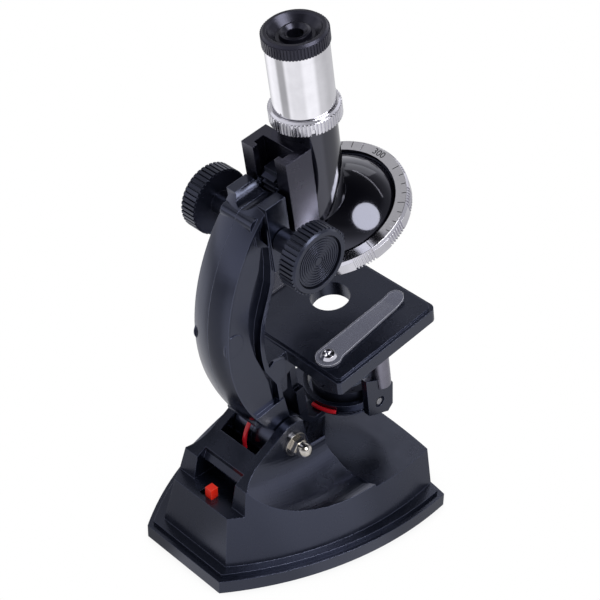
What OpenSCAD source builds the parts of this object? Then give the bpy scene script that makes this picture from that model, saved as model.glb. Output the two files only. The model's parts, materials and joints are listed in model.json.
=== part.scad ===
// Toy compound microscope with a tilting arm, rack focusing, three-lens turret and lamp.
// Millimetres. +X is the front (stage side), +Z is up, origin at the centre of the base.
// The tilting parts are drawn upright in an optical frame: its origin is where the tube
// axis meets the stage top, and its Z axis is the tube axis.

/* [Base] */
// Length of the base flange, back to front
base_len = 106.4; // [104:0.2:108]
// Height of the base flange
flange_h = 6.2; // [5:0.1:7]
// Height of the flat deck in front
deck_z = 24; // [23:0.5:25]
// Height of the second step on the flange
step_h = 1.7; // [1:0.1:2]
// Radius of the flange's curved sides
flange_side_r = 148; // [146:1:150]
// Radius of the body's curved sides where it meets the flange
body_side_r = 128; // [127:1:130]
// Wall thickness of the cover
wall = 2.2; // [1.8:0.1:2.4]

/* [Pivot] */
// Distance of the arm's pivot behind the centre of the base
pivot_back = 5.4; // [5:0.1:6]
// Height of the arm's pivot
pivot_z = 45.4; // [45:0.1:46.5]
// Radius of the pivot bolt
bolt_r = 2; // [1.8:0.1:2.2]
// Radius of the rounded cheeks around the pivot
cheek_r = 10.4; // [10:0.1:10.7]
// Backward lean of the tube at rest, degrees
lean = 9.65; // [5:0.05:12]

/* [Arm] */
// Radius of the arm's curved back
arm_r = 79.4; // [79:0.1:80]
// Half width of the arm's rim
arm_hw = 9.4; // [9:0.1:9.6]
// Radial thickness of the back rim
rim_t = 2.7; // [2.2:0.1:3]
// Half width of the hinge block and of the head
block_hw = 9.9; // [9.7:0.1:10]

/* [Stage] */
// Stage edge behind the tube axis
stage_back = 31.7; // [31:0.1:32]
// Stage edge in front of the tube axis
stage_front = 22.8; // [20:0.1:24]
// Half width of the stage
stage_hw = 36.3; // [34:0.1:37]
// Thickness of the stage
stage_t = 7; // [6:0.5:8]
// Radius of the light hole
light_r = 8.15; // [6:0.05:9]

/* [Focusing] */
// Distance of the pinion shaft behind the tube axis
pinion_back = 27.9; // [27.9]
// Height of the pinion shaft above the stage
pinion_h = 55.8; // [55:0.1:56.5]
// Gear module
gear_m = 0.8; // [0.8]
// Teeth on the pinion
gear_z = 17; // [17]
// Radius of the focus knobs
knob_r = 13.4; // [12:0.1:14]
// Half distance between the outer faces of the knobs
knob_out = 30.5; // [30:0.1:31]
// Thickness of a knob
knob_t = 7.6; // [7:0.1:8]

/* [Turret] */
// Centre of the turret ring in front of the tube axis
turret_fwd = 6.8; // [6.8]
// Centre of the turret ring above the stage
turret_h = 42.7; // [42:0.1:43]
// Backward lean of the turret's axis from the tube axis, degrees
turret_lean = 14.9; // [14.9]
// Outer radius of the turret ring
ring_r = 30.7; // [30:0.1:31]
// Height of the dome above the turret ring's centre
dome_h = 13; // [12:0.5:14]

/* [Eyepiece] */
// Radius of the black tube
tube_r = 11.2; // [11:0.1:11.4]
// Bore radius of the black tube
tube_bore = 9.6; // [9.4:0.05:9.8]
// Top of the black tube above the stage
tube_top = 96.7; // [95:0.1:98]
// Radius of the bright barrel
barrel_r = 11.7; // [11.5:0.1:12]
// Top of the eyecup above the stage
eye_top = 128.4; // [127:0.1:130]
// Radius of the eyecup
cup_r = 12.3; // [12:0.1:12.6]

/* [Lamp] */
// Flip axis of the lamp drum in front of the tube axis
drum_fwd = 2.5; // [2:0.1:3]
// Flip axis of the lamp drum below the stage top
drum_drop = 50; // [49:0.5:51]
// Radius of the lamp drum
drum_r = 14.2; // [13.8:0.1:14.3]
// Thickness of the lamp drum
drum_t = 12; // [11:0.1:12]

/* [Hidden] */

$fn = 96;
fine = 0.05;                 // gap left between parts that touch along a seam
run = 0.06;                  // radial running clearance of a shaft in its bore
big_fn = 360;                // facets of the very large side arcs

// ---- base figures ----
half_len = base_len / 2;
flange_c = [33, flange_side_r - 49.6];     // centre of the near side's flange arc, seen in plan
body_c = [28, body_side_r - 43.4];         // centre of the near side's body arc
draft = 0.225;                             // inward lean of the side walls per mm of height
body_back = -47.1;                         // back face at the flange
body_front = 52.3;
blank_top = 60;
cheek_hw = 14;                             // half width over the cheeks
step_in = 2.3;                             // how far the second step stands back
slot_hw = 10.4;                            // half width of the arm's slot
slot_back = -22.7;
slot_floor = 34.6;
// front face of the cheeks in side view, from the top down to the deck
cheek_front = [[-0.6, 70], [-0.6, 53.2], [0.5, 47.5], [2.4, 42], [5.4, 35.3], [9, 27.6], [12, deck_z]];
shoulder = [-42.9, 29.3];                  // top edge of the low back wall, x and z
ledge_in = -37;                            // inner end of the flat ledge on the back wall
knee = [-35, 39.8];                        // where the steep part of the back ends
scoop_r = 16.3;
scoop_y = 30.5;
scoop_arc = 90;                            // radius of the sweep that the scoops follow
scoop_c = [12, deck_z - 1 + scoop_r + scoop_arc];
// back edge of the deck in plan, from the cheek outwards
deck_edge = [[12, cheek_hw + 0.2], [14.6, 18.5], [16.1, 26], [17.2, 38], [18.2, 60]];

// switch recess, x and y
recess_in = -30.4;
recess_floor = shoulder[1];
recess_lip = [-31.6, 37.4];                // lower edge of the band along the top of the recess
recess_deep = -26;                         // inner wall of the recess below that band
recess_y = [-11.8, 10.7];
slider_x = [-40.1, -36.5];
slider_y = [-3.1, 0.4];
slider_top = 33.8;
slider_travel = 3;

// batteries: two AA cells side by side across the base
cell_r = 7.1;
cell_len = 49.2;
cell_x = [18.4, 34.2];
cell_z = 9.8;
bay_x = [10.2, 42.4];
bay_y = 28.2;
tray_floor = 2;
screw_xy = [[46, 35], [46, -35], [-37.5, 12.5], [-37.5, -12.5]];

// ---- optical frame ----
arm_c = [17.15, 11.4];                     // centre of the arm's back arc, forward and up
pivot_o = [-40.32, -42.64];                // the pivot in the optical frame
hub_r = 10.2;
ledge_h = -21;                             // top of the thicker hinge block
arm_top = 72.9;
web_out = 8.2;                             // outer face of the arm's recessed side web
web_t = 1.6;
// front edge of the arm, top to bottom
arm_front = [[-30.5, arm_top], [-31.2, 60], [-32, 46], [-33.4, 38], [-35.6, 33], [-38.2, 27.8],
    [-40.6, 22.4], [-42.2, 16.5], [-43, 10.5], [-43.1, 4.5], [-42.5, -1.5], [-38.2, -12],
    [-38.1, -21], [-37, -33]];
// front edge of the outer part of the web, top to bottom
web_front = [[-36, 56], [-39, 46], [-43.7, 38], [-46.4, 31.5], [-48, 24.8], [-48.2, 17],
    [-47.3, 8], [-44.9, -1], [-43.2, -9], [-42.5, -21]];
web_deep = 2.6;                            // how far the band in front of that edge is set in
head_front = -23.4;
arm_bolts = [[-56.3, 20.8], [-36.5, 66.5], [-50, -26]];
pad_r = 4.9;                               // round pad on the web over the middle screw
bracket_bolt = [2.1, -16.2];               // screws that hold the stage: side offset and height
lead_r = 0.9;                              // red lead
lead_sweep = 13.8;                         // radius at which a lead runs round the pivot

rail_back = -22;
rail_in = 7.7;
rail_out = 11.7;
lip_in = 5.6;
channel_floor = -14.6;
channel_h = [44, 86.7];
rack_hw = 3.2;
rack_h = [45, 78];
pitch_r = gear_m * gear_z / 2;
pitch_u = pitch_r - pinion_back;           // pitch line of the rack
tooth_p = PI * gear_m;
shaft_r = 2.5;
backlash = 0.16;

dome_r = 25.3;                             // radius of the dome's rim
plate_r = 25.6;
seat_r = 7;                                // objective axes cross the ring plane at this radius
lens_len = [12, 18, 24];                   // length of each objective below the plate

clip_pivot = [-24.6, 24];
clip_tip = [14.3, 21.9];
clip_t = 1;
clip_head_r = 5.2;
clip_tip_r = 3.7;
clip_bend = 11.2;
clip_gap = 0.25;

drum_c = [drum_fwd, -drum_drop];
yoke_in = 15.7;
yoke_out = 17.8;
ear_y = [16.8, 19.8];
ear = [[-3.6, -33.6], [9, -41.4], [10.8, -45], [9.6, -56.6], [6.6, -59], [-4, -53.4]];
post_c = [6.2, 17.6];
post_r = 4.3;
post_foot = -42.7;
pin_r = 1.5;

// ================= helpers =================
// places upright optical parts on the leaning microscope
module optical() {
    translate([-pivot_back, 0, pivot_z]) rotate([0, -lean, 0])
        translate([-pivot_o[0], 0, -pivot_o[1]]) children();
}

// places turret parts: Z is the turret's own axis, +X its forward side
module turret() {
    optical() translate([turret_fwd, 0, turret_h]) rotate([0, -turret_lean, 0]) children();
}

// extrudes a side view (X across, Y up) between two y positions
module side(y0, y1) {
    translate([0, y1, 0]) rotate([90, 0, 0]) linear_extrude(y1 - y0) children();
}

module both_sides() {
    children();
    mirror([0, 1, 0]) children();
}

// lies a cylinder along Y, centred on a point of the side view
module along_y(p, y0, y1, r) {
    translate([p[0], y1, p[1]]) rotate([90, 0, 0]) cylinder(r = r, h = y1 - y0);
}

// points along an arc from angle a0 to a1 in n steps
function arc(c, r, a0, a1, n) = [for (i = [0 : n]) let (a = a0 + (a1 - a0) * i / n)
    c + r * [cos(a), sin(a)]];

// knurled outline: n ridges, each one step wide with a groove of the given depth
module knurl(r, n, depth, ridge = 0.58) {
    step = 360 / n;
    polygon([for (i = [0 : n - 1], k = [[0, r], [ridge, r], [ridge + 0.1, r - depth],
        [0.9, r - depth]]) k[1] * [cos((i + k[0]) * step), sin((i + k[0]) * step)]]);
}

// convex lens along Z, centred on z = 0, edge radius r and centre thickness t
module lens(r, t, curve) {
    c = curve - t / 2;
    intersection() {
        translate([0, 0, c]) sphere(curve, $fn = 200);
        translate([0, 0, -c]) sphere(curve, $fn = 200);
        cylinder(r = r, h = t, center = true);
    }
}

// ================= base =================
// plan shape between the two curved sides: arc radius, arc centre, height and side draft
module curved_sides(r, c, h, lean_in) {
    intersection_for(s = [-1, 1])
        translate([c[0], s * c[1], 0])
            cylinder(r1 = r, r2 = r - lean_in * h, h = h, $fn = big_fn);
}

module base_blank(inset, z0 = flange_h) {
    intersection() {
        translate([0, 0, z0])
            curved_sides(body_side_r - inset, body_c, blank_top, draft);
        translate([body_front - 250 - inset, 0, 0]) cylinder(r = 250, h = blank_top, $fn = big_fn);
        side(-half_len, half_len) back_profile(inset, z0);
    }
}

// side view of the cover: low back wall, steep back, slope up to the round cheeks
module back_profile(inset, z0) {
    c = [-pivot_back, pivot_z];
    rise = 33;
    polygon(concat([[body_back + inset, z0], [shoulder[0] + inset, shoulder[1]],
        [ledge_in + inset, shoulder[1]], [knee[0] + inset, knee[1]]],
        arc(c, cheek_r - inset, 90 + rise, 30, 30), [[half_len, c[1]], [half_len, z0]]));
}

// what lies above the flat deck, seen in plan
module deck_area() {
    both_sides() polygon(concat([[deck_edge[0][0], -1]], deck_edge, [[60, 60], [60, -1]]));
}

// hollow beside the tower: a round trough that climbs backwards along an arc
module scoop() {
    difference() {
        translate([scoop_c[0], 0, scoop_c[1]]) rotate([90, 0, 0]) rotate([0, 0, 195])
            rotate_extrude(angle = 110, $fn = 180) polygon(concat([[20, scoop_y - scoop_r]],
                arc([scoop_arc, scoop_y], scoop_r, -90, 60, 30), [[20, 75]]));
        linear_extrude(100) deck_area();
    }
}

// outline of the flange, set in by the given amount, between two heights
module foot(inset, z0, h) intersection() {
    translate([0, 0, z0]) curved_sides(flange_side_r - inset, flange_c, h, 0);
    translate([half_len - 300 - inset, 0, z0]) cylinder(r = 300, h = h, $fn = big_fn);
    translate([-half_len + inset, -60, z0]) cube([120, 120, h]);
}

module base_shell() color([0.075, 0.08, 0.11]) {
    difference() {
        union() {
            base_blank(0);
            foot(step_in, flange_h, step_h);
        }
        translate([0, 0, deck_z]) linear_extrude(60) deck_area();
        side(-cheek_hw - 0.2, cheek_hw + 0.2)
            polygon(concat(cheek_front, [[60, deck_z], [60, 70]]));
        both_sides() scoop();
        // slot for the arm
        translate([slot_back, -slot_hw, slot_floor]) cube([60, 2 * slot_hw, 60]);
        // recess for the switch and the opening for its slider
        side(recess_y[0], recess_y[1]) polygon([[-60, recess_floor], [recess_deep, recess_floor],
            [recess_deep, recess_lip[1]], recess_lip, [recess_in, 40.6], [recess_in, 70], [-60, 70]]);
        translate([slider_x[0] - 0.3, slider_y[0] - 0.3, 20])
            cube([slider_x[1] - slider_x[0] + 0.6,
                slider_y[1] - slider_y[0] + slider_travel + 0.6, 20]);
        along_y([-pivot_back, pivot_z], -20, 20, bolt_r + run);
        cover_hollow();
    }
    for (p = screw_xy) difference() {
        translate([p[0], p[1], tray_floor + fine])
            cylinder(r = 3.4, h = (p[0] > 0 ? deck_z - 1.4 : recess_floor - 1) - tray_floor, $fn = 32);
        translate([p[0], p[1], 0]) cylinder(r = 1.3, h = 14, $fn = 32);
    }
}

// inside of the cover: low room under the deck, and a narrow room up the tower
module cover_hollow() {
    intersection() {
        base_blank(wall, flange_h - 1);
        translate([-60, -60, 0]) cube([120, 120, deck_z - wall]);
    }
    translate([-41.9, -8.5, 10]) cube([41, 17, 16.2]);
}

module tray_pocket() {
    intersection_for(s = [-1, 1])
        translate([body_c[0], s * body_c[1]]) circle(body_side_r - wall, $fn = big_fn);
}

module base_tray() color([0.06, 0.065, 0.09]) difference() {
    foot(0, 0, flange_h);
    intersection() {
        translate([0, 0, tray_floor]) linear_extrude(20) tray_pocket();
        translate([body_back + wall, -60, 0]) cube([body_front - body_back - 2 * wall, 120, 20]);
    }
    translate([bay_x[0], -bay_y, -1]) cube([bay_x[1] - bay_x[0], 2 * bay_y, 4]);
    for (p = screw_xy) translate([p[0], p[1], -1]) {
        cylinder(r = 1.6, h = 4, $fn = 32);
        cylinder(r = 2.9, h = 1.9, $fn = 32);
    }
}

module battery_door() color([0.06, 0.065, 0.09]) difference() {
    translate([bay_x[0] + 0.3, -bay_y + 0.3, 0])
        cube([bay_x[1] - bay_x[0] - 0.6, 2 * bay_y - 0.6, 1.8]);
    for (i = [-3 : 3]) translate([38, i * 3 - 0.6, -1]) cube([2.6, 1.2, 1.5]);
}

module battery_cells() for (k = [0, 1]) {
    d = k == 0 ? 1 : -1;
    color([0.55, 0.57, 0.6]) along_y([cell_x[k], cell_z], -cell_len / 2, cell_len / 2, cell_r);
    color([0.8, 0.8, 0.8]) translate([cell_x[k], d * cell_len / 2, cell_z])
        rotate([-d * 90, 0, 0]) cylinder(r = 2.7, h = 1);
}

module battery_cradle() color([0.12, 0.12, 0.14]) difference() {
    translate([bay_x[0] - 1.3, -bay_y - 1.3, tray_floor + fine])
        cube([bay_x[1] - bay_x[0] + 2.6, 2 * bay_y + 2.6, 16.4]);
    translate([bay_x[0], -bay_y, 0]) cube([bay_x[1] - bay_x[0], 2 * bay_y, 17.2]);
}

module battery_contacts() color([0.75, 0.75, 0.72]) for (x = cell_x, s = [-1, 1])
    translate([x, s * (bay_y - 0.1), cell_z]) rotate([s * 90, 0, 0]) {
        translate([-5, -5, 0]) cube([10, 10, 0.4]);
        cylinder(r1 = 4, r2 = 2.6, h = 1.8, $fn = 32);
    }

module base_screws() color([0.6, 0.6, 0.62]) for (p = screw_xy) translate([p[0], p[1], 0.15]) {
    difference() {
        cylinder(r = 2.6, h = 0.75, $fn = 32);
        for (a = [0, 90]) rotate(a) translate([-1.6, -0.3, -0.1]) cube([3.2, 0.6, 0.5]);
    }
    cylinder(r = 1.2, h = 11, $fn = 32);
}

module switch_body() color([0.3, 0.3, 0.32]) difference() {
    translate([-41.5, -8, 16]) cube([6.2, 16.2, 10]);
    translate([slider_x[0] - 0.2, slider_y[0] - 0.2, 18])
        cube([slider_x[1] - slider_x[0] + 0.4,
            slider_y[1] - slider_y[0] + slider_travel + 0.4, 10]);
}

module switch_slider() color([0.93, 0.16, 0.06])
    translate([slider_x[0], slider_y[0], 18.2])
        cube([slider_x[1] - slider_x[0], slider_y[1] - slider_y[0], slider_top - 18.2]);

// ================= pivot hardware =================
module tilt_bolt() color([0.7, 0.7, 0.7])
    along_y([-pivot_back, pivot_z], -19.2, 19.2, bolt_r);

module tilt_washers() color([0.75, 0.75, 0.75]) both_sides() difference() {
    along_y([-pivot_back, pivot_z], cheek_hw + 0.25, cheek_hw + 1.35, 5.3);
    along_y([-pivot_back, pivot_z], 0, 20, bolt_r + run);
}

module tilt_nuts() color([0.8, 0.8, 0.8]) both_sides() difference() {
    translate([-pivot_back, cheek_hw + 1.4, pivot_z]) rotate([-90, 0, 0]) {
        cylinder(r = 4.04, h = 2.9, $fn = 6);
        cylinder(r = 3.2, h = 4.6);
        translate([0, 0, 4.6]) sphere(3.2);
    }
    along_y([-pivot_back, pivot_z], 0, cheek_hw + 5.4, bolt_r + fine);
}

// ================= arm =================
// side view of the arm inside its back rim
module arm_side(r) {
    intersection() {
        translate(arm_c) circle(r, $fn = big_fn);
        polygon(concat(arm_front, [pivot_o, [-90, pivot_o[1]], [-90, arm_top]]));
    }
}

module arm_half() {
    difference() {
        union() {
            // crowned back rim
            translate([arm_c[0], 0, arm_c[1]]) rotate([90, 0, 0]) rotate([0, 0, 129.3])
                rotate_extrude(angle = 87, $fn = big_fn) intersection() {
                    translate([arm_r - rim_t, fine]) square([rim_t, arm_hw - fine]);
                    translate([arm_r - 25.4, 0]) circle(25.4, $fn = 180);
                }
            // side web, front wall and top
            side(-web_out + web_deep, -web_out + web_deep + web_t) arm_side(arm_r - rim_t + 0.1);
            side(-web_out, -web_out + web_deep + 0.1) intersection() {
                arm_side(arm_r - rim_t + 0.1);
                polygon(concat([[-36, 80]], web_front, [[-42.5, -60], [-90, -60], [-90, 80]]));
            }
            side(-arm_hw, -fine) polygon(concat(arm_front,
                [for (i = [len(arm_front) - 1 : -1 : 0]) arm_front[i] - [2, 0]]));
            side(-arm_hw, -fine) intersection() {
                arm_side(arm_r - rim_t + 0.1);
                translate([-40, arm_top - 2.4]) square([12, 4]);
            }
            // thicker hinge block and hub
            side(-block_hw, -web_out + web_t) intersection() {
                arm_side(arm_r - 1.9);
                translate([-90, -60]) square([80, 60 + ledge_h]);
            }
            side(-block_hw, -fine) translate(pivot_o) circle(hub_r);
            // head that carries the pinion, with the hook that holds the carriage
            side(-block_hw - 0.5, -fine) polygon([[-33, arm_top], [head_front, arm_top],
                [head_front, 49.5], [-31, 43], [-33, 43]]);
            translate([head_front - 1, -5.4, 50]) cube([5.4, 1.6, arm_top - 50]);
            translate([-19.35, -7.4, 50]) cube([2.8, 3.6, arm_top - 50]);
            for (p = arm_bolts) along_y(p, -web_out + 0.1, -fine, 3);
            along_y(arm_bolts[0], -web_out - 0.35, -web_out + 0.2, pad_r);
            // rib in the recess of the web
            side(-arm_hw + 0.2, -web_out + web_deep + 0.1)
                polygon([[-38.8, 64.4], [-33, 54.6], [-38.6, 58.4]]);
            // gusset beside the bracket of the stage
            side(-arm_hw, -arm_hw + 1.5) polygon([[-43.4, -1.5], [-39.7, 0.2], [-34.1, -1.8],
                [-35.3, -10.7], [-39.2, -12]]);
        }
        along_y(pivot_o, -20, 0, bolt_r + run);
        along_y([-pinion_back, pinion_h], -20, 0, shaft_r + run);
        // room for the pinion, open towards the rack
        along_y([-pinion_back, pinion_h], -3.8, 0, 8.3);
        translate([-pinion_back, -3.8, pinion_h - 8.3]) cube([12, 4, 16.6]);
        translate([-45, -bracket_bolt[0], bracket_bolt[1]]) rotate([0, 90, 0])
            cylinder(r = 1.15, h = 10, $fn = 32);
        pivot_lead(lead_r + fine, 110, 60);
        // rounded notch in the top of the head
        translate([-40, 0, arm_top + 4.6]) rotate([0, 90, 0]) cylinder(r = 7.4, h = 18);
    }
}

module arm_right_shell() color([0.085, 0.09, 0.125]) optical() difference() {
    arm_half();
    for (p = arm_bolts) along_y(p, -5.5, 0, 1.2);
}

module arm_left_shell() color([0.085, 0.09, 0.125]) optical() difference() {
    mirror([0, 1, 0]) arm_half();
    for (p = arm_bolts) {
        along_y(p, -1, 20, 1.5);
        along_y(p, web_out - 1.8, 20, 2.8);
    }
}

module arm_screws() color([0.6, 0.6, 0.62]) optical() for (p = arm_bolts) {
    along_y(p, -5, web_out - 1, 1.1);
    difference() {
        along_y(p, web_out - 1.75, web_out - 0.3, 2.5);
        translate([p[0], web_out - 0.8, p[1]]) for (a = [0, 90]) rotate([0, a, 0])
            translate([-1.5, 0, -0.3]) cube([3, 2, 0.6]);
    }
}

// round path about the pivot, through the back of the arm and down behind the hinge block
module pivot_lead(r, start, sweep) translate([pivot_o[0], 0, pivot_o[1]]) rotate([90, 0, 0])
    rotate([0, 0, start]) rotate_extrude(angle = sweep) translate([lead_sweep, 0]) circle(r, $fn = 24);

module switch_wire() color([0.8, 0.1, 0.12]) optical() pivot_lead(lead_r, 118, 67);

// ================= stage =================
module stage_outline(inset) {
    x0 = -stage_back + inset;
    x1 = stage_front - inset;
    y = stage_hw - inset;
    r = 3;
    c = 1.2;
    polygon(concat([[x0, y - c], [x0, -y + c], [x0 + c, -y]], arc([x1 - r, r - y], r, -90, 0, 8),
        arc([x1 - r, y - r], r, 0, 90, 8), [[x0 + c, y]]));
}

module stage() color([0.06, 0.065, 0.09]) optical() difference() {
    union() {
        translate([0, 0, -1.1]) linear_extrude(1.1) stage_outline(1.3);
        translate([0, 0, -stage_t]) linear_extrude(stage_t - 1) stage_outline(0);
        // bracket to the arm
        side(-7.6, 7.6) polygon([[-42.4, -1.6], [-38.1, -12.1], [-38, -20.5], [-34.2, -20.5],
            [-33.2, -13], [-24, -9.5], [-12, -9.5], [-12, -5], [-31, -1.4]]);
    }
    difference() {
        translate([0, 0, -stage_t - 1]) linear_extrude(stage_t - 1.2) stage_outline(2);
        translate([0, 0, -stage_t]) cylinder(r = light_r + 2, h = stage_t);
        for (s = [-1, 1]) translate([clip_pivot[0], s * clip_pivot[1], -stage_t])
            cylinder(r = 3.2, h = stage_t, $fn = 32);
        translate([post_c[0], -post_c[1], -stage_t]) cylinder(r = post_r, h = stage_t, $fn = 48);
        translate([-41, -7.6, -21]) cube([29, 15.2, 21]);
    }
    translate([0, 0, -stage_t - 1]) cylinder(r = light_r, h = stage_t + 2);
    for (s = [-1, 1]) translate([clip_pivot[0], s * clip_pivot[1], -5.4])
        cylinder(r = 1.4, h = 6, $fn = 32);
    for (s = [-1, 1]) translate([-45, s * bracket_bolt[0], bracket_bolt[1]]) rotate([0, 90, 0])
        cylinder(r = 1.05, h = 16, $fn = 32);
}

module stage_screws() color([0.6, 0.6, 0.62]) optical() for (s = [-1, 1])
    translate([-41.6, s * bracket_bolt[0], bracket_bolt[1]]) rotate([0, 90, 0]) {
        cylinder(r = 1.7, h = 1.4, $fn = 32);
        translate([0, 0, 1.3]) cylinder(r = 1, h = 6.4, $fn = 32);
    }

module clip_screws() color([0.8, 0.8, 0.78]) optical() for (s = [-1, 1])
    translate([clip_pivot[0], s * clip_pivot[1], 0]) {
        translate([0, 0, -5]) cylinder(r = 1.3, h = 6.4, $fn = 48);
        difference() {
            translate([0, 0, clip_gap + clip_t + 0.1]) cylinder(r1 = 3.4, r2 = 2.5, h = 1.3);
            for (a = [0, 90]) rotate(a) translate([-1.9, -0.35, 2]) cube([3.8, 0.7, 1]);
        }
    }

// strip with a round head at the screw and a rounded tip that bends up off the stage
module clip() difference() {
    rise = (30 - clip_bend) * 0.2;
    intersection() {
        linear_extrude(6) {
            translate(clip_pivot) circle(clip_head_r);
            translate(clip_tip) circle(clip_tip_r);
            polygon([clip_pivot - [0, clip_head_r], clip_tip - [0, clip_tip_r],
                clip_tip + [0, clip_tip_r], clip_pivot + [0, clip_head_r - 0.9]]);
        }
        side(-60, 60) polygon([[-40, clip_gap], [clip_bend, clip_gap], [30, clip_gap + rise],
            [30, clip_gap + rise + clip_t], [clip_bend, clip_gap + clip_t], [-40, clip_gap + clip_t]]);
    }
    translate([clip_pivot[0], clip_pivot[1], -1]) cylinder(r = 1.3 + run, h = 4, $fn = 48);
}

module clip_right() color([0.85, 0.87, 0.9, 0.5]) optical() mirror([0, 1, 0]) clip();
module clip_left() color([0.85, 0.87, 0.9, 0.5]) optical() clip();

// ================= lamp =================
module lamp_yoke() color([0.07, 0.075, 0.1]) optical() difference() {
    union() {
        translate([drum_c[0], 0, drum_c[1] - 3]) cylinder(r = yoke_out, h = 5.4);
        both_sides() side(-ear_y[1], -ear_y[0]) polygon(ear);
        // block behind the ring, and the strut from it up to the bracket of the stage
        side(-4.5, 4.5) polygon([[-27.8, -30], [-23.4, -30], [-23.4, -47.5], [-20.2, -51.2],
            [-14.4, -51.2], [-14.4, -53.8], [-21.8, -53.8], [-27.8, -48]]);
        side(-2.5, 2.5) polygon([[-27.8, -31], [-24.6, -31], [-24.6, -9.8], [-27.8, -11]]);
    }
    translate([drum_c[0], 0, drum_c[1] - 10]) cylinder(r = yoke_in, h = 20);
    // groove round the outside of the ring
    translate([drum_c[0], 0, drum_c[1] - 2.4]) difference() {
        cylinder(r = yoke_out + 1, h = 1.4);
        translate([0, 0, -1]) cylinder(r = yoke_out - 0.8, h = 4);
        translate([-2, -30, -1]) cube([30, 60, 4]);
        translate([-30, -4.6, -1]) cube([30, 9.2, 4]);
    }
    along_y(drum_c, -30, 30, pin_r + run);
    both_sides() along_y(drum_c, -30, -ear_y[1] + 0.9, 2.6);
}

// bright spacer between the right ear and the stage
module lamp_post() color([0.78, 0.78, 0.8]) optical() difference() {
    translate([post_c[0], -post_c[1], post_foot])
        cylinder(r = post_r, h = -post_foot - stage_t - fine);
    side(-ear_y[1] - fine, -ear_y[0] + fine) translate([fine, fine]) polygon(ear);
}

module drum_axis() optical() translate([drum_c[0], 0, drum_c[1]]) children();

module lamp_drum() color([0.05, 0.05, 0.065]) drum_axis() difference() {
    union() {
        cylinder(r = drum_r, h = drum_t, center = true);
        rotate([90, 0, 0]) cylinder(r = 3, h = 2 * (yoke_in - 0.3), center = true);
    }
    translate([0, 0, drum_t / 2 - 2.8]) cylinder(r = 11, h = 4);
    translate([0, 0, -drum_t / 2 - 1]) cylinder(r = 11.6, h = 2.4);
    translate([0, 0, -1]) cylinder(r = 2.6, h = 8, $fn = 48);
    for (a = [0 : 30 : 359]) rotate(a) translate([11.9, -0.5, drum_t / 2 - 0.6]) cube([1.6, 1, 1]);
    for (s = [-1, 1]) rotate([s * 90, 0, 0]) cylinder(r = pin_r, h = 20, $fn = 48);
}

module lamp_lens() color([0.85, 0.88, 0.92, 0.6]) drum_axis()
    translate([0, 0, drum_t / 2 - 1.5]) lens(10.9, 2.4, 60);

module lamp_led() color([0.95, 0.93, 0.8]) drum_axis() translate([0, 0, -0.9]) {
    cylinder(r = 2.5, h = 2.4, $fn = 48);
    translate([0, 0, 2.4]) cylinder(r1 = 2.4, r2 = 1.4, h = 1, $fn = 48);
}

module flip_mirror() color([0.9, 0.92, 0.95]) drum_axis()
    translate([0, 0, -drum_t / 2 + 0.05]) cylinder(r = 11.5, h = 1.3);

module flip_pins() color([0.75, 0.75, 0.75]) drum_axis() for (s = [-1, 1])
    rotate([s * 90, 0, 0]) translate([0, 0, 12.4]) cylinder(r = pin_r, h = 7.1, $fn = 48);

module lamp_wire() color([0.8, 0.1, 0.12]) drum_axis()
    rotate([0, 0, 178]) rotate_extrude(angle = 34, $fn = 120)
        translate([yoke_out + lead_r + fine, 0]) circle(lead_r, $fn = 24);

// ================= focusing =================
function polar(r, a) = r * [cos(a), sin(a)];
// point where the involute of a base circle reaches radius r
function involute_angle(rb, r) = let (t = acos(rb / r)) tan(t) * 180 / PI - t;

module gear_outline() {
    pressure = 20;
    rb = pitch_r * cos(pressure);
    tip = pitch_r + gear_m;
    root = pitch_r - 1.25 * gear_m;
    half = 90 / gear_z - backlash / pitch_r * 90 / PI;
    steps = 5;
    flank = [for (i = [0 : steps]) let (r = rb + (tip - rb) * i / steps)
        [r, half + involute_angle(rb, pitch_r) - involute_angle(rb, r)]];
    polygon([for (k = [0 : gear_z - 1]) let (a = k * 360 / gear_z) each concat(
        [polar(root, a - flank[0][1])], [for (f = flank) polar(f[0], a - f[1])],
        [for (i = [steps : -1 : 0]) polar(flank[i][0], a + flank[i][1])],
        [polar(root, a + flank[0][1])])]);
}

module shaft_axis() optical() translate([-pinion_back, 0, pinion_h]) rotate([90, 0, 0]) children();

module pinion_gear() color([0.85, 0.85, 0.8]) shaft_axis() difference() {
    linear_extrude(6.4, center = true) gear_outline();
    cylinder(r = shaft_r + 0.02, h = 10, center = true, $fn = 64);
}

module pinion_shaft() color([0.7, 0.7, 0.7]) shaft_axis()
    cylinder(r = shaft_r, h = 2 * (knob_out - 2.2), center = true, $fn = 64);

// Z runs outward from the arm
module knob() difference() {
    union() {
        translate([0, 0, knob_out - knob_t]) linear_extrude(knob_t - 0.8) knurl(knob_r, 42, 0.8);
        translate([0, 0, knob_out - 0.85]) cylinder(r1 = knob_r - 0.5, r2 = knob_r - 1.1, h = 0.85);
        translate([0, 0, block_hw + 0.9]) cylinder(r = 4.6, h = knob_out - knob_t - block_hw - 0.8);
    }
    translate([0, 0, knob_out - 0.8]) cylinder(r = 10.66, h = 2);
    // fine rings on the face, and the deeper groove round them
    for (r = [1.6 : 1.05 : 9.1]) knob_groove(r, r + 0.55, 0.4);
    knob_groove(10, 10.66, 1.4);
    translate([0, 0, 1]) cylinder(r = shaft_r + 0.02, h = knob_out - 3, $fn = 64);
}

// ring groove between two radii, cut into the recessed face of a knob
module knob_groove(r0, r1, depth) translate([0, 0, knob_out - 0.8 - depth]) difference() {
    cylinder(r = r1, h = depth + 0.1, $fn = 48);
    translate([0, 0, -1]) cylinder(r = r0, h = depth + 2, $fn = 48);
}

module focus_knob_right() color([0.07, 0.07, 0.08]) shaft_axis() knob();
module focus_knob_left() color([0.07, 0.07, 0.08]) shaft_axis() rotate([180, 0, 0]) knob();

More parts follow.
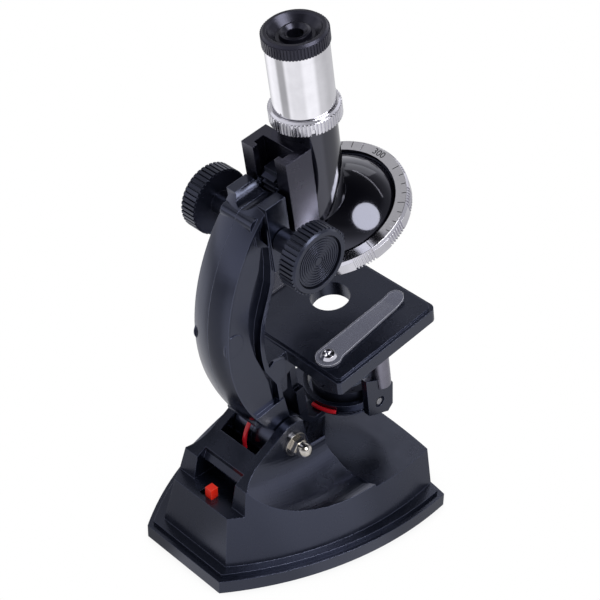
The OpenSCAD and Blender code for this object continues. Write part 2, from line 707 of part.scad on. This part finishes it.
module carriage() color([0.05, 0.05, 0.065]) optical() difference() {
    translate([0, 0, channel_h[0]]) linear_extrude(channel_h[1] - channel_h[0]) {
        translate([channel_floor, -rail_out]) square([4.9, 2 * rail_out]);
        both_sides() {
            translate([rail_back, -rail_out]) square([9, rail_out - rail_in]);
            translate([rail_back, -rail_in - 0.1]) square([2.4, rail_in - lip_in + 0.1]);
        }
    }
    cylinder(r = tube_r + 0.03, h = 120);
    // room for the dome and its ring below
    translate([turret_fwd, 0, turret_h]) rotate([0, -turret_lean, 0]) {
        translate([0, 0, -10]) cylinder(r = ring_r + 1, h = 13.2);
        translate([0, 0, -10]) cylinder(r = dome_r + 0.05, h = 14);
    }
    dome_cap(0.03, 60);
}

module rack() color([0.2, 0.2, 0.2]) optical() side(-rack_hw, rack_hw) {
    tip = pitch_u - gear_m;
    root = pitch_u + 1.25 * gear_m;
    half_tip = tooth_p / 4 - gear_m * tan(20);
    half_root = tooth_p / 4 + 1.25 * gear_m * tan(20);
    below = floor((pinion_h - rack_h[0]) / tooth_p - 1);
    above = floor((rack_h[1] - pinion_h) / tooth_p - 1);
    polygon(concat([[channel_floor - fine, rack_h[0]], [root, rack_h[0]]],
        [for (k = [-below : above], q = [[root, -half_root], [tip, -half_tip],
            [tip, half_tip], [root, half_root]]) [q[0], q[1] + pinion_h + (k + 0.5) * tooth_p]],
        [[root, rack_h[1]], [channel_floor - fine, rack_h[1]]]));
}

// spherical cap over the turret, grown by g, cut off at the given height above the ring
module dome_cap(g, top) {
    curve = (dome_r * dome_r + dome_h * dome_h) / (2 * dome_h);
    translate([turret_fwd, 0, turret_h]) rotate([0, -turret_lean, 0]) intersection() {
        translate([0, 0, dome_h - curve]) sphere(curve + g, $fn = 180);
        translate([0, 0, 0.2]) cylinder(r = dome_r + g, h = top, $fn = 180);
    }
}

module body_tube() color([0.03, 0.03, 0.045]) optical() difference() {
    union() {
        translate([0, 0, turret_h + 4]) cylinder(r = tube_r, h = tube_top - turret_h - 4);
        dome_cap(0, 60);
    }
    translate([0, 0, turret_h + 3]) cylinder(r = tube_bore, h = 80);
    // the dome is hollow above its floor
    translate([turret_fwd, 0, turret_h]) rotate([0, -turret_lean, 0]) {
        curve = (dome_r * dome_r + dome_h * dome_h) / (2 * dome_h);
        difference() {
            intersection() {
                translate([0, 0, dome_h - curve]) sphere(curve - 1.8, $fn = 180);
                translate([0, 0, 2.2]) cylinder(r = dome_r - 1.8, h = 30);
            }
            cylinder(r = 3.4, h = 6, $fn = 48);
        }
        translate([0, 0, -1]) cylinder(r = 1.5, h = 6.4, $fn = 48);
    }
    cylinder(r = 4.2, h = 60);
}

module tube_collar() color([0.85, 0.85, 0.87]) optical() difference() {
    translate([0, 0, 90.8]) {
        linear_extrude(4.9) knurl(13.54, 60, 0.45);
        translate([0, 0, 4.9]) cylinder(r1 = 13.1, r2 = 12.4, h = 1);
    }
    cylinder(r = tube_r + 0.02, h = 120);
    rotate(-122) translate([12.2, -0.8, 90]) cube([3, 1.6, 3.4]);
}

// ================= turret =================
module turret_screw() color([0.75, 0.75, 0.75]) turret() {
    translate([0, 0, -4]) cylinder(r = 1.5, h = 8.8, $fn = 48);
    difference() {
        translate([0, 0, -4.6]) cylinder(r = 2.4, h = 1.35, $fn = 48);
        translate([-3, -0.35, -5]) cube([6, 0.7, 0.9]);
    }
}

// knurled rim: groups of fine grooves with smooth lands between them
module turret_ring() color([0.85, 0.85, 0.87]) turret() difference() {
    union() {
        translate([0, 0, -3.6]) cylinder(r = ring_r, h = 4.6, $fn = 180);
        translate([0, 0, 0.95]) cylinder(r1 = ring_r, r2 = ring_r - 0.9, h = 1.25, $fn = 180);
    }
    translate([0, 0, -9]) cylinder(r = plate_r, h = 20, $fn = 180);
    for (g = [0 : 11], k = [0 : 6]) rotate(g * 30 + k * 2.4)
        translate([ring_r - 0.75, -0.36, -5]) cube([2, 0.72, 8]);
}

module turret_plate() color([0.05, 0.05, 0.06]) turret() difference() {
    translate([0, 0, -3.2]) cylinder(r = plate_r - 0.02, h = 3, $fn = 180);
    translate([0, 0, -5]) cylinder(r = 1.5 + run + 0.02, h = 10, $fn = 48);
    for (k = [0 : 2]) seat(k) cylinder(r = 3.4, h = 20, center = true, $fn = 48);
}

// axis of one objective: Z points down the lens, origin in the ring plane
module seat(k) rotate(180 + 120 * k) translate([seat_r, 0, 0]) rotate([0, 180 - turret_lean, 0])
    children();

module objective(k) {
    len = lens_len[k];
    color([0.6, 0.6, 0.62]) turret() seat((k + 2) % 3) difference() {
        union() {
            translate([0, 0, 1.2]) cylinder(r = 3.3, h = 3.6, $fn = 64);
            translate([0, 0, 4.7]) cylinder(r = 4.7, h = len * 0.55 - 1.5, $fn = 64);
            translate([0, 0, 3.2 + len * 0.55]) cylinder(r = 3.8, h = len * 0.3, $fn = 64);
            translate([0, 0, 3.2 + len * 0.85]) cylinder(r1 = 3.8, r2 = 2.6, h = len * 0.15, $fn = 64);
        }
        translate([0, 0, -1]) cylinder(r = 2.1, h = len + 8, $fn = 48);
    }
}

module objective_low() objective(0);
module objective_mid() objective(1);
module objective_high() objective(2);

module objective_lenses() color([0.8, 0.85, 0.95, 0.6]) turret() for (k = [0 : 2])
    seat((k + 2) % 3) translate([0, 0, lens_len[k] + 1.6]) lens(2.05, 1.2, 5);

// ================= eyepiece =================
module eyepiece_barrel() color([0.88, 0.88, 0.9]) optical() rotate_extrude($fn = 128)
    polygon([[8.2, 78], [tube_bore - run, 78], [tube_bore - run, tube_top + 0.2],
        [barrel_r, tube_top + 0.2], [barrel_r, 122.8], [10.4, 122.8],
        [10.4, tube_top + 2], [8.2, tube_top + 1.6]]);

module eyecup() color([0.05, 0.05, 0.06]) optical() difference() {
    union() {
        translate([0, 0, 122.85]) linear_extrude(4.6) knurl(cup_r, 64, 0.35);
        rotate_extrude($fn = 128) polygon([[3.1, 120.4], [10.3, 120.4], [10.3, 122.85],
            [11.6, 122.9], [cup_r - 0.4, 127.4], [cup_r - 1.1, eye_top], [10, eye_top],
            [9.4, 127.6], [7, 125.4], [5.9, 125.3], [5.5, 127], [4.6, 127.3], [3.6, 126]]);
    }
    translate([0, 0, 120]) cylinder(r = 3.1, h = 10);
    rotate_extrude($fn = 128) polygon([[0, 127.4], [3.2, 126], [4.6, 127.3], [5.5, 127],
        [5.9, 125.3], [7, 125.4], [9.4, 127.6], [9.4, 130], [0, 130]]);
}

module eye_lens() color([0.75, 0.8, 0.9, 0.6]) optical() translate([0, 0, 119.1]) lens(5, 2.4, 14);

module field_lens() color([0.75, 0.8, 0.9, 0.6]) optical() translate([0, 0, 80]) lens(8.15, 2.6, 32);

base_shell();
base_tray();
battery_door();
battery_cells();
battery_cradle();
battery_contacts();
base_screws();
switch_body();
switch_slider();
tilt_bolt();
tilt_washers();
tilt_nuts();
arm_right_shell();
arm_left_shell();
arm_screws();
switch_wire();
stage();
stage_screws();
clip_screws();
clip_right();
clip_left();
lamp_yoke();
lamp_post();
lamp_wire();
lamp_drum();
lamp_lens();
lamp_led();
flip_mirror();
flip_pins();
pinion_shaft();
pinion_gear();
focus_knob_right();
focus_knob_left();
carriage();
rack();
body_tube();
tube_collar();
turret_screw();
turret_ring();
turret_plate();
objective_low();
objective_mid();
objective_high();
objective_lenses();
eyepiece_barrel();
eyecup();
eye_lens();
field_lens();
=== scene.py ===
import json
import math

import bpy
from mathutils import Matrix, Vector


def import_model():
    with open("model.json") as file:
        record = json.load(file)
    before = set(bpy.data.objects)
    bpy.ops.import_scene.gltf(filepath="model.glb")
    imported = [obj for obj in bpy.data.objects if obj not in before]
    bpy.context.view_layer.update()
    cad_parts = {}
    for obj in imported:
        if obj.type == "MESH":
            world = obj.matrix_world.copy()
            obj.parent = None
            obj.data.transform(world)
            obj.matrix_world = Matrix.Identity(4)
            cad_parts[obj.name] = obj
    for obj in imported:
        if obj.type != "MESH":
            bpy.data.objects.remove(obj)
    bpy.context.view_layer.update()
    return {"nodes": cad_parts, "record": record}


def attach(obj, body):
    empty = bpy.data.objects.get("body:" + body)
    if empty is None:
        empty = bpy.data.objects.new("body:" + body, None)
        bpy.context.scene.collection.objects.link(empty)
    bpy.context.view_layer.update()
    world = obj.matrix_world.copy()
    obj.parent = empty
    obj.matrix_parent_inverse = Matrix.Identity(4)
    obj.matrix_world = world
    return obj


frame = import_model()
NODES = frame["nodes"]
MM = 0.001


# ---------------------------------------------------------------- materials
class Tree:
    """A new material's node tree around one Principled shader."""

    def __init__(self, name):
        self.mat = bpy.data.materials.new(name)
        self.mat.use_nodes = True
        self.nodes = self.mat.node_tree.nodes
        self.links = self.mat.node_tree.links
        self.bsdf = self.nodes["Principled BSDF"]
        coord = self.nodes.new("ShaderNodeTexCoord")
        self.place = coord.outputs["Object"]

    def new(self, kind, inputs=(), **props):
        node = self.nodes.new(kind)
        for key, value in props.items():
            setattr(node, key, value)
        for key, value in dict(inputs).items():
            if isinstance(value, bpy.types.NodeSocket):
                self.links.new(value, node.inputs[key])
            else:
                node.inputs[key].default_value = value
        return node

    def put(self, key, value):
        if isinstance(value, bpy.types.NodeSocket):
            self.links.new(value, self.bsdf.inputs[key])
        else:
            self.bsdf.inputs[key].default_value = value

    def noise(self, size_mm, detail=2.0):
        node = self.new("ShaderNodeTexNoise", {"Vector": self.place, "Scale": 1 / (size_mm * MM),
                                               "Detail": detail})
        return node.outputs["Fac"]

    def spread(self, value, low, high, start=0.3, end=0.7):
        node = self.new("ShaderNodeMapRange", {"Value": value, "From Min": start, "From Max": end,
                                               "To Min": low, "To Max": high})
        return node.outputs["Result"]

    def mix(self, factor, a, b):
        node = self.new("ShaderNodeMix", data_type="RGBA")
        for key, value in (("Factor", factor), ("A", a), ("B", b)):
            socket = [s for s in node.inputs if s.name == key
                      and s.type == ("VALUE" if key == "Factor" else "RGBA")][0]
            if isinstance(value, bpy.types.NodeSocket):
                self.links.new(value, socket)
            else:
                socket.default_value = value
        return [s for s in node.outputs if s.type == "RGBA"][0]

    def edges(self, radius_mm):
        """1 on sharp edges and 0 on flat faces, and the rounded normal."""
        rounded = self.new("ShaderNodeBevel", {"Radius": radius_mm * MM}, samples=6)
        flat = self.new("ShaderNodeNewGeometry")
        dot = self.new("ShaderNodeVectorMath", {0: rounded.outputs["Normal"], 1: flat.outputs["Normal"]},
                       operation="DOT_PRODUCT")
        return self.spread(dot.outputs["Value"], 1.0, 0.0, 0.80, 0.995), rounded.outputs["Normal"]

    def bump(self, height, depth_mm, normal):
        bump = self.new("ShaderNodeBump", {"Height": height, "Distance": depth_mm * MM, "Strength": 1.0,
                                           "Normal": normal})
        self.put("Normal", bump.outputs["Normal"])


def rgb(r, g, b):
    """Display colour 0-255 to linear."""
    return tuple(((c / 255 + 0.055) / 1.055) ** 2.4 if c > 10 else c / 255 / 12.92
                 for c in (r, g, b)) + (1.0,)


def shade(color, share):
    """The same colour, darker."""
    return tuple(c * share for c in color[:3]) + (1.0,)


def plastic(name, color, rough, grain=0.02, grain_mm=0.5, edge_mm=0.35, painted_edge_highlight=None, coat=0.0,
            drift=0.05, ior=1.5, sheen=(1, 1, 1, 1)):
    """Moulded plastic: sizes in mm; the edge colour is a painted highlight along its sharp edges, where it
    is also less rough; sheen tints what it mirrors.
    """
    t = Tree(name)
    edge, rounded = t.edges(edge_mm)
    cloud = t.noise(9, 3)
    fine = t.noise(grain_mm, 4)
    base = t.mix(t.spread(cloud, 0, 1), shade(color, 0.82), color)
    # Painted highlight: the base colour turns to the edge colour on sharp edges.
    if painted_edge_highlight:
        base = t.mix(edge, base, painted_edge_highlight)
    t.put("Base Color", base)
    worn = t.new("ShaderNodeMath", {0: t.spread(cloud, rough - drift, rough + drift),
                                    1: t.spread(edge, 0, 0.1, 0, 1)}, operation="SUBTRACT")
    t.put("Roughness", worn.outputs["Value"])
    t.put("IOR", ior)
    t.put("Specular Tint", sheen)
    t.put("Coat Weight", coat)
    t.put("Coat Roughness", 0.05)
    t.bump(fine, grain, rounded)
    return t.mat


# Painted dark reflection that the metal takes on where it is seen at a grazing angle
GRAZING_REFLECTION_SHADE = (0.12, 0.12, 0.14, 1)


def metal(name, color, rough, brush_mm=2.5, edge_mm=0.25, dent=0.004, rim=0.0):
    """Plated or bare metal; rim is the share of a painted dark reflection where it is seen at a grazing
    angle.
    """
    t = Tree(name)
    rounded = t.edges(edge_mm)[1]
    cloud = t.noise(6, 3)
    t.put("Metallic", 1.0)
    base = t.mix(t.spread(cloud, 0, 1), shade(color, 0.9), color)
    # Painted reflection: the colour darkens towards the grazing rim.
    if rim:
        facing = t.new("ShaderNodeLayerWeight", {"Blend": 0.35}).outputs["Facing"]
        base = t.mix(t.spread(facing, 0, rim, 0.70, 0.98), base, GRAZING_REFLECTION_SHADE)
    t.put("Base Color", base)
    t.put("Roughness", t.spread(cloud, rough * 0.7, rough * 1.4))
    t.bump(t.noise(brush_mm, 2), dent, rounded)
    return t.mat


def clear(name, color, rough=0.06, alpha=0.35, ior=1.49, painted_edge_highlight=None):
    """See-through plastic or glass, denser at its rim and along its edges; a given edge colour is painted
    there as a highlight.
    """
    t = Tree(name)
    edge, rounded = t.edges(0.4)
    streak = t.noise(3, 2)
    # Painted highlight: the colour turns to the edge colour along the edges.
    t.put("Base Color", t.mix(edge, color, painted_edge_highlight or color))
    t.put("Roughness", t.spread(streak, rough * 0.6, rough * 1.8))
    t.put("IOR", ior)
    rim = t.new("ShaderNodeLayerWeight", {"Blend": 0.25}).outputs["Facing"]
    most = t.new("ShaderNodeMath", {0: t.spread(rim, alpha, min(1, alpha + 0.5), 0.2, 0.9),
                                    1: t.spread(edge, 0, 0.9, 0, 1)}, operation="MAXIMUM")
    t.put("Alpha", most.outputs["Value"])
    t.bump(streak, 0.004, rounded)
    return t.mat


def frosted(name, color):
    """Plain cloudy plastic of the lamp's bulb."""
    t = Tree(name)
    cloud = t.noise(1.5, 2)
    t.put("Base Color", t.mix(t.spread(cloud, 0, 1), shade(color, 0.85), color))
    t.put("Roughness", 0.35)
    return t.mat


# Tint of the light that the dark plastics mirror
COOL = (0.64, 0.70, 1.0, 1.0)
# The edge colours given below are painted highlights along sharp edges.
BODY = plastic("satin_black", rgb(6, 9, 17), 0.26, grain=0.010, grain_mm=0.45,
               painted_edge_highlight=rgb(58, 62, 80), ior=1.82, sheen=COOL)
BODY_ARM = plastic("satin_black_arm", rgb(6, 9, 18), 0.22, grain=0.006, grain_mm=0.5,
                   painted_edge_highlight=rgb(60, 64, 84), ior=1.85, sheen=COOL)
GLOSS = plastic("gloss_black", rgb(4, 4, 8), 0.09, grain=0.001, grain_mm=1.2, edge_mm=0.3,
                painted_edge_highlight=rgb(30, 31, 40), drift=0.02, ior=1.66, coat=0.5, sheen=(0.74, 0.76, 1.0, 1.0))
RAIL = plastic("rail_black", rgb(5, 5, 10), 0.24, grain=0.004, grain_mm=0.7, edge_mm=0.3,
               painted_edge_highlight=rgb(36, 37, 48), drift=0.04, ior=1.78, sheen=(0.72, 0.72, 1.0, 1.0))
KNOB = plastic("knob_black", rgb(16, 18, 26), 0.32, grain=0.008, grain_mm=0.6, edge_mm=0.2,
               painted_edge_highlight=rgb(48, 51, 64), ior=1.7, sheen=COOL)
CUP = plastic("cup_black", rgb(13, 13, 20), 0.30, grain=0.008, grain_mm=0.5, edge_mm=0.2,
              painted_edge_highlight=rgb(44, 44, 56), ior=1.6, sheen=(0.75, 0.75, 1.0, 1.0))
CASE = plastic("case_grey", rgb(60, 61, 66), 0.5, grain=0.01)
GEAR = plastic("gear_natural", rgb(200, 196, 184), 0.45, grain=0.005, edge_mm=0.15)
RED = plastic("switch_red", rgb(232, 38, 16), 0.35, grain=0.004, edge_mm=0.3,
              painted_edge_highlight=rgb(250, 96, 66), coat=0.1)
WIRE = plastic("wire_red", rgb(205, 25, 40), 0.35, grain=0.004, edge_mm=0.1)
CELL = metal("cell_sleeve", rgb(140, 145, 155), 0.3)
CHROME = metal("chrome", rgb(248, 247, 252), 0.04, dent=0.0015, rim=0.45)
CHROME_CUT = metal("chrome_knurled", rgb(226, 225, 232), 0.11, dent=0.003)
POST = metal("chrome_satin", rgb(150, 148, 162), 0.28, dent=0.002)
NICKEL = metal("nickel", rgb(205, 200, 192), 0.12)
STEEL = metal("steel", rgb(170, 170, 174), 0.3, brush_mm=0.8)
TURNED = metal("turned_alloy", rgb(168, 168, 173), 0.28, brush_mm=0.6)
MIRROR = metal("mirror", rgb(240, 243, 247), 0.02, dent=0.0)
CLIP = clear("clip_clear", rgb(140, 142, 158), alpha=0.38, painted_edge_highlight=rgb(238, 238, 244))
GLASS = clear("lens_glass", rgb(190, 200, 225), rough=0.02, alpha=0.45)
LAMP = frosted("lamp_bulb", rgb(250, 245, 225))

LOOKS = {
    BODY: "base_shell base_tray battery_door stage lamp_yoke",
    BODY_ARM: "arm_right_shell arm_left_shell",
    GLOSS: "body_tube",
    RAIL: "carriage",
    KNOB: "focus_knob_right focus_knob_left rack turret_plate lamp_drum",
    CUP: "eyecup",
    CASE: "battery_cradle switch_body",
    GEAR: "pinion_gear",
    RED: "switch_slider",
    WIRE: "switch_wire lamp_wire",
    CELL: "battery_cells",
    CHROME: "eyepiece_barrel",
    CHROME_CUT: "tube_collar turret_ring clip_screws",
    POST: "lamp_post",
    NICKEL: "tilt_bolt tilt_washers tilt_nuts",
    STEEL: "battery_contacts base_screws arm_screws stage_screws flip_pins pinion_shaft turret_screw",
    TURNED: "objective_low objective_mid objective_high",
    MIRROR: "flip_mirror",
    CLIP: "clip_right clip_left",
    GLASS: "lamp_lens objective_lenses eye_lens field_lens",
    LAMP: "lamp_led",
}


def dress(node, mat):
    """Gives a CAD node its only material."""
    materials = NODES[node].data.materials
    materials.clear()
    materials.append(mat)


for look, names in LOOKS.items():
    for name in names.split():
        dress(name, look)


# ---------------------------------------------------------------- marks on the turret
DIAL_R = 27.7 * MM                 # middle of the flat face of the turret ring
DIAL_Z = 2.2 * MM                  # height of that face above the ring's centre
DIAL_FIRST = -1.5                  # direction of the first number, degrees from the front
DIAL_NUMBERS = ("300", "200", "100")
DIAL_STEP = 360 / len(DIAL_NUMBERS)
NUMBER_SIZE = 3.9 * MM
NUMBER_RAISED = 0.05 * MM
RIB_AFTER = 17                     # degrees from a number to the rib beside it
RIB_SIZE = (3.6 * MM, 0.45 * MM, 0.25 * MM)
TICK_AFTER = 22                    # degrees from a number to the first tick
TICK_STEP = 9
TICKS = 9
TICK_WIDTH = 0.3 * MM
TICK_RAISED = 0.06 * MM
TICK_OUT = DIAL_R + 1.9 * MM       # radius that the ticks reach
LONG_TICK = 2.8 * MM
SHORT_TICK = 1.7 * MM
INK = plastic("dial_ink", rgb(16, 16, 22), 0.4, grain=0.002, edge_mm=0.05)


def turret_place():
    """Z on the turret's axis, X towards its forward side, origin at the ring's centre."""
    spin = next(j for j in frame["record"]["behaviour"]["joints"] if j["name"] == "turret_spin")
    z = Vector(spin["axis"]).normalized()
    y = Vector((0, 1, 0))
    turn = Matrix((y.cross(z), y, z)).transposed().to_4x4()
    return Matrix.Translation(spin["pos_m"]) @ turn


def link(name, data, mat, place, body):
    """Adds a piece to the scene, on the given body."""
    o = bpy.data.objects.new(name, data)
    bpy.context.scene.collection.objects.link(o)
    data.materials.append(mat)
    o.matrix_world = place
    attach(o, body)


def dial_number(text, degrees):
    """Number on the ring's face, its top towards the rim."""
    data = bpy.data.curves.new("dial_" + text, "FONT")
    data.body = text
    data.size = NUMBER_SIZE
    data.extrude = NUMBER_RAISED
    data.align_x = "CENTER"
    data.align_y = "CENTER"
    place = turret_place() @ on_ring(degrees, DIAL_R) @ Matrix.Rotation(math.radians(-90), 4, "Z")
    link("dial_" + text, data, INK, place, "turret")


TAPER = 0.4                        # how far a raised mark narrows, as a share of its height


def box_mesh(name, boxes):
    """One mesh of tapered boxes: each is (place, length, width, height)."""
    verts, faces = [], []
    for place, length, width, height in boxes:
        start = len(verts)
        for z, inset in ((0, 0), (height, height * TAPER)):
            for sx, sy in ((-1, -1), (1, -1), (1, 1), (-1, 1)):
                corner = Vector((sx * (length / 2 - inset), sy * (width / 2 - inset), z))
                verts.append(place @ corner)
        faces += [tuple(start + k for k in face) for face in
                  ((3, 2, 1, 0), (4, 5, 6, 7), (0, 1, 5, 4), (1, 2, 6, 5), (2, 3, 7, 6), (3, 0, 4, 7))]
    mesh = bpy.data.meshes.new(name)
    mesh.from_pydata([tuple(v) for v in verts], [], faces)
    return mesh


def on_ring(degrees, radius):
    """Place on the ring's face with X pointing outwards."""
    return Matrix.Rotation(math.radians(degrees), 4, "Z") @ Matrix.Translation((radius, 0, DIAL_Z))


def dial_marks():
    """Printed ticks between the numbers, and one raised rib beside each number."""
    ticks = []
    ribs = []
    for k in range(len(DIAL_NUMBERS)):
        first = DIAL_FIRST + DIAL_STEP * k
        ribs.append((on_ring(first + RIB_AFTER, DIAL_R), *RIB_SIZE))
        for step in range(TICKS):
            length = LONG_TICK if step % 4 == 0 else SHORT_TICK
            ticks.append((on_ring(first - TICK_AFTER - TICK_STEP * step, TICK_OUT - length / 2),
                          length, TICK_WIDTH, TICK_RAISED))
    link("dial_ticks", box_mesh("dial_ticks", ticks), INK, turret_place(), "turret")
    link("dial_ribs", box_mesh("dial_ribs", ribs), CHROME_CUT, turret_place(), "turret")


for k, text in enumerate(DIAL_NUMBERS):
    dial_number(text, DIAL_FIRST + DIAL_STEP * k)
dial_marks()


# ---------------------------------------------------------------- studio
MIDDLE = Vector((0.0, 0.0, 0.12))  # what the lights point at
FLOOR_HALF = 3.0
SKY_BLUE = 1.06
FLOOR_BLUE = 1.02
# (direction in degrees, brightness) of the floor as the object mirrors it
FLOOR_BANDS = [(-180, 0.9), (-165, 0.82), (-125, 0.80), (-108, 1.0), (-80, 1.0), (-62, 0.66),
               (-25, 0.55), (0, 0.6), (60, 0.65), (100, 1.05), (128, 0.95), (145, 0.42), (165, 0.42),
               (180, 0.9)]
# (distance from the middle, brightness) of the same floor, close by, where it is painted darker as shade
# near the base, and further out
FLOOR_NEAR_SHADE = ((0.06, 0.75), (0.18, 1.0))
FLOOR_FAR = ((0.35, 1.0), (1.3, 0.45))
# (openness, brightness) of the floor as the camera sees it: a painted contact shadow that darkens it under
# the base
FLOOR_CONTACT_SHADOW = ((0.15, 0.80), (0.75, 1.0))
CONTACT_REACH = 0.05
# (height, brightness) of the backdrop and ceiling
SKY = [(0.0, 0.95), (0.25, 0.80), (0.60, 0.20), (0.74, 0.06), (1.0, 0.02)]
# name: direction and height in degrees, distance, (width, height), brightness, outline
LIGHTS = {
    "key": (-83, 51, 0.8, (0.58, 0.52), 5.6, "ELLIPSE"),
    "strip": (5, 46, 1.0, (0.8, 0.02), 3.0, "RECTANGLE"),
    "back": (150, 40, 1.1, (0.5, 0.5), 0.5, "RECTANGLE"),
    "far": (80, 52, 1.2, (1.1, 0.4), 0.42, "RECTANGLE"),
    "front": (30, 34, 1.2, (0.5, 0.36), 0.7, "RECTANGLE"),
}
CAMERA_AZIMUTH = -44.54
CAMERA_ELEVATION = 36.91
CAMERA_ROLL = 0.94
CAMERA_PLACE = Vector((-357.8, -374.3, 495.2)) * MM
CAMERA_SENSOR = 36
CAMERA_LENS = 101.3


def fill_ramp(ramp, stops, blue):
    """Sets a colour ramp's stops from a list of (position, brightness)."""
    ramp.color_ramp.interpolation = "EASE"
    points = ramp.color_ramp.elements
    while len(points) < len(stops):
        points.new(0.5)
    for point, (where, level) in zip(points, stops):
        point.position = where
        point.color = (level, level, level * blue, 1)
    return ramp.outputs["Color"]


def around(tree, angle):
    """The floor's brightness against a direction in degrees."""
    ramp = tree.new("ShaderNodeValToRGB", {"Fac": tree.spread(angle, 0, 1, -180, 180)})
    return fill_ramp(ramp, [((where + 180) / 360, level) for where, level in FLOOR_BANDS], FLOOR_BLUE)


def between(tree, value, stops):
    """Straight line through two (value, brightness) stops, held flat beyond them."""
    (start, low), (end, high) = stops
    return tree.spread(value, low, high, start, end)


def floor():
    """Pale glowing floor: white to the camera but for a painted contact shadow under the base, softly uneven
    to whatever the object mirrors.
    """
    mesh = bpy.data.meshes.new("floor")
    s = FLOOR_HALF
    mesh.from_pydata([(-s, -s, 0), (s, -s, 0), (s, s, 0), (-s, s, 0)], [], [(0, 1, 2, 3)])
    o = bpy.data.objects.new("floor", mesh)
    bpy.context.scene.collection.objects.link(o)
    t = Tree("floor_white")
    split = t.new("ShaderNodeSeparateXYZ", {"Vector": t.place})
    angle = t.new("ShaderNodeMath", {0: split.outputs["Y"], 1: split.outputs["X"]}, operation="ARCTAN2")
    degrees = t.new("ShaderNodeMath", {0: angle.outputs["Value"]}, operation="DEGREES").outputs["Value"]
    reach = t.new("ShaderNodeVectorMath", {0: t.place}, operation="LENGTH").outputs["Value"]
    mirrored = around(t, degrees)
    # Painted shade: the floor as the object mirrors it darkens close to the base.
    for stops in (FLOOR_FAR, FLOOR_NEAR_SHADE):
        mirrored = t.new("ShaderNodeVectorMath", {0: mirrored, "Scale": between(t, reach, stops)},
                         operation="SCALE").outputs["Vector"]
    # Painted contact shadow: the glowing floor darkens where little open space is around it.
    contact_shadow = t.new("ShaderNodeAmbientOcclusion", {"Distance": CONTACT_REACH}, samples=8).outputs["AO"]
    path = t.new("ShaderNodeLightPath")
    glow = t.mix(path.outputs["Is Camera Ray"], mirrored, between(t, contact_shadow, FLOOR_CONTACT_SHADOW))
    emit = t.new("ShaderNodeEmission", {"Color": glow, "Strength": 1.0})
    t.links.new(emit.outputs["Emission"], t.nodes["Material Output"].inputs["Surface"])
    o.data.materials.append(t.mat)


def softbox(name, azimuth, elevation, reach, size, level, shape):
    """Area light seen from the object at the given direction; level is its brightness."""
    a, e = math.radians(azimuth), math.radians(elevation)
    data = bpy.data.lights.new(name, "AREA")
    data.shape = shape
    data.size, data.size_y = size
    data.energy = level * math.pi * size[0] * size[1]
    o = bpy.data.objects.new(name, data)
    bpy.context.scene.collection.objects.link(o)
    o.location = MIDDLE + reach * Vector((math.cos(e) * math.cos(a), math.cos(e) * math.sin(a), math.sin(e)))
    o.rotation_mode = "QUATERNION"
    o.rotation_quaternion = (MIDDLE - o.location).to_track_quat("-Z", "Y")


def camera():
    """The photo's view, solved from the object's proportions."""
    azimuth, elevation, roll = (math.radians(a) for a in (CAMERA_AZIMUTH, CAMERA_ELEVATION, CAMERA_ROLL))
    back = Vector((math.sin(azimuth) * math.cos(elevation), -math.cos(azimuth) * math.cos(elevation),
                   math.sin(elevation)))
    right = Vector((math.cos(azimuth), math.sin(azimuth), 0))
    up = back.cross(right)
    x = math.cos(roll) * right + math.sin(roll) * up
    y = -math.sin(roll) * right + math.cos(roll) * up
    data = bpy.data.cameras.new("camera")
    data.sensor_width = CAMERA_SENSOR
    data.lens = CAMERA_LENS
    data.clip_start, data.clip_end = 0.01, 20
    o = bpy.data.objects.new("camera", data)
    bpy.context.scene.collection.objects.link(o)
    o.rotation_mode = "QUATERNION"
    o.rotation_quaternion = Matrix((x, y, back)).transposed().to_quaternion()
    o.location = CAMERA_PLACE
    bpy.context.scene.camera = o


def world():
    """White behind the object; to everything else a pale backdrop that fades to a dark ceiling."""
    w = bpy.data.worlds.new("studio")
    w.use_nodes = True
    n, links = w.node_tree.nodes, w.node_tree.links
    coord = n.new("ShaderNodeTexCoord")
    split = n.new("ShaderNodeSeparateXYZ")
    links.new(coord.outputs["Generated"], split.inputs["Vector"])
    ramp = n.new("ShaderNodeValToRGB")
    links.new(split.outputs["Z"], ramp.inputs["Fac"])
    path = n.new("ShaderNodeLightPath")
    mix = n.new("ShaderNodeMix")
    mix.data_type = "RGBA"
    mirrored, seen = (k for k in mix.inputs if k.type == "RGBA")
    seen.default_value = (1, 1, 1, 1)
    links.new(path.outputs["Is Camera Ray"], mix.inputs["Factor"])
    links.new(fill_ramp(ramp, SKY, SKY_BLUE), mirrored)
    result = next(k for k in mix.outputs if k.type == "RGBA")
    links.new(result, n["Background"].inputs["Color"])
    n["Background"].inputs["Strength"].default_value = 1.0
    bpy.context.scene.world = w


floor()
world()
camera()
for name, setting in LIGHTS.items():
    softbox(name, *setting)
bpy.context.scene.view_settings.view_transform = "Standard"
